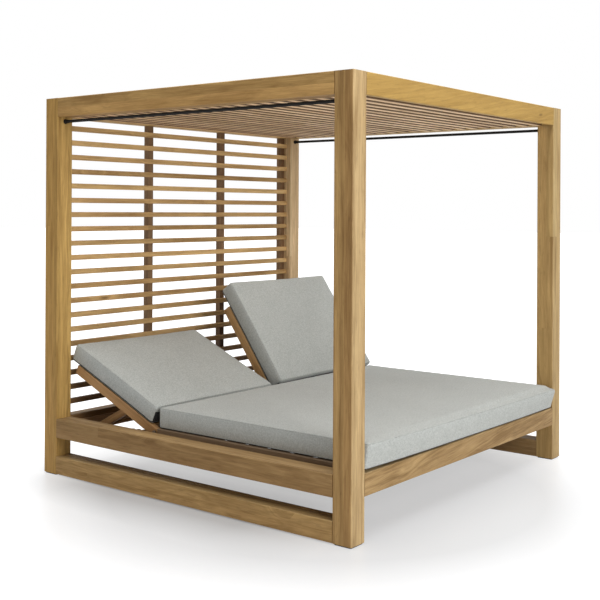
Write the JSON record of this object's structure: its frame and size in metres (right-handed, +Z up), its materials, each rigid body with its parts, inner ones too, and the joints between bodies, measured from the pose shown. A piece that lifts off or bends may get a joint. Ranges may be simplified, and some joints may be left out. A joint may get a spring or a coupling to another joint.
{
  "type": "outdoor daybed with canopy",
  "caption": "Square timber daybed with corner posts, slatted roof and back wall, side curtain rods, a wide mattress and reclining backrests with cushions on notched props.",
  "frame": {"origin": "on the ground under the middle of the whole object", "axes": "+X to the right seen from the foot end, +Y towards the head end with the slatted wall, +Z up"},
  "size_m": [2.105, 2.065, 2.025],
  "materials": {
    "frame_timber": "laminated oiled timber, satin",
    "slat_timber": "oiled slats, satin",
    "bed_timber": "oiled timber, satin",
    "rod_metal": "dark powder coat",
    "bolt_steel": "stainless",
    "glide": "moulded, matte",
    "fabric": "woven outdoor fabric, light grey"
  },
  "bodies": {
    "frame": {"bed_rail_back": "frame_timber", "bed_rail_front": "frame_timber", "bed_rail_left": "frame_timber", "bed_rail_right": "frame_timber", "centre_beam": "bed_timber", "curtain_rod_left": "rod_metal", "curtain_rod_right": "rod_metal", "deck_slats_left": "bed_timber", "deck_slats_right": "bed_timber", "deck_stile_left": "bed_timber", "deck_stile_right": "bed_timber", "fold_rail_left": "bed_timber", "fold_rail_right": "bed_timber", "glide_back_left": "glide", "glide_back_right": "glide", "glide_front_left": "glide", "glide_front_right": "glide", "head_ledger": "bed_timber", "hinge_bolt_centre": "bolt_steel", "hinge_plate_left": "bolt_steel", "hinge_plate_right": "bolt_steel", "low_rail_left": "frame_timber", "low_rail_right": "frame_timber", "mattress": "fabric", "post_back_left": "frame_timber", "post_back_right": "frame_timber", "post_front_left": "frame_timber", "post_front_right": "frame_timber", "rack_left_inner": "bed_timber", "rack_left_outer": "bed_timber", "rack_right_inner": "bed_timber", "rack_right_outer": "bed_timber", "rod_socket_back_left": "rod_metal", "rod_socket_back_right": "rod_metal", "rod_socket_front_left": "rod_metal", "rod_socket_front_right": "rod_metal", "roof_beam_back": "frame_timber", "roof_beam_left": "frame_timber", "roof_beam_right": "frame_timber", "roof_fascia_front": "frame_timber", "roof_slats": "slat_timber", "wall_slats": "slat_timber"},
    "backrest_left": {"backrest_foot_rail_left": "bed_timber", "backrest_head_rail_left": "bed_timber", "backrest_rail_left_inner": "bed_timber", "backrest_rail_left_outer": "bed_timber", "backrest_slats_left": "bed_timber", "prop_bolt_left_inner": "bolt_steel", "prop_bolt_left_outer": "bolt_steel"},
    "prop_left": {"prop_left": "bed_timber"},
    "cushion_left": {"backrest_cushion_left": "fabric"},
    "backrest_right": {"backrest_foot_rail_right": "bed_timber", "backrest_head_rail_right": "bed_timber", "backrest_rail_right_inner": "bed_timber", "backrest_rail_right_outer": "bed_timber", "backrest_slats_right": "bed_timber", "prop_bolt_right_inner": "bolt_steel", "prop_bolt_right_outer": "bolt_steel"},
    "prop_right": {"prop_right": "bed_timber"},
    "cushion_right": {"backrest_cushion_right": "fabric"}
  },
  "joints": [
    {"name": "backrest_fold_left", "type": "hinge", "parent": "frame", "child": "backrest_left", "pos_m": [-0.4805, 0.292, 0.297], "axis": [1, 0, 0], "range_deg": [-23.4, 30.9]},
    {"name": "prop_swing_left", "type": "hinge", "parent": "backrest_left", "child": "prop_left", "pos_m": [-0.4805, 0.52266, 0.38592], "axis": [1, 0, 0], "range_deg": [-61.8, 46.8]},
    {"name": "cushion_slip_left", "type": "slide", "parent": "backrest_left", "child": "cushion_left", "axis": [0, 0.9178, 0.3971], "range_m": [-0.05719, 0.07551]},
    {"name": "backrest_fold_right", "type": "hinge", "parent": "frame", "child": "backrest_right", "pos_m": [0.4805, 0.292, 0.297], "axis": [1, 0, 0], "range_deg": [-54.3, 0]},
    {"name": "prop_swing_right", "type": "hinge", "parent": "backrest_right", "child": "prop_right", "pos_m": [0.4805, 0.44426, 0.49175], "axis": [1, 0, 0], "range_deg": [0, 108.6]},
    {"name": "cushion_slip_right", "type": "slide", "parent": "backrest_right", "child": "cushion_right", "axis": [0, 0.5835, 0.8121], "range_m": [-0.10805, 0]}
  ],
  "couplings": [
    {"joint": "prop_swing_left", "follows": "backrest_fold_left", "ratio": -2},
    {"joint": "cushion_slip_left", "follows": "backrest_fold_left", "m_per_rad": 0.14},
    {"joint": "prop_swing_right", "follows": "backrest_fold_right", "ratio": -2},
    {"joint": "cushion_slip_right", "follows": "backrest_fold_right", "m_per_rad": 0.114}
  ]
}
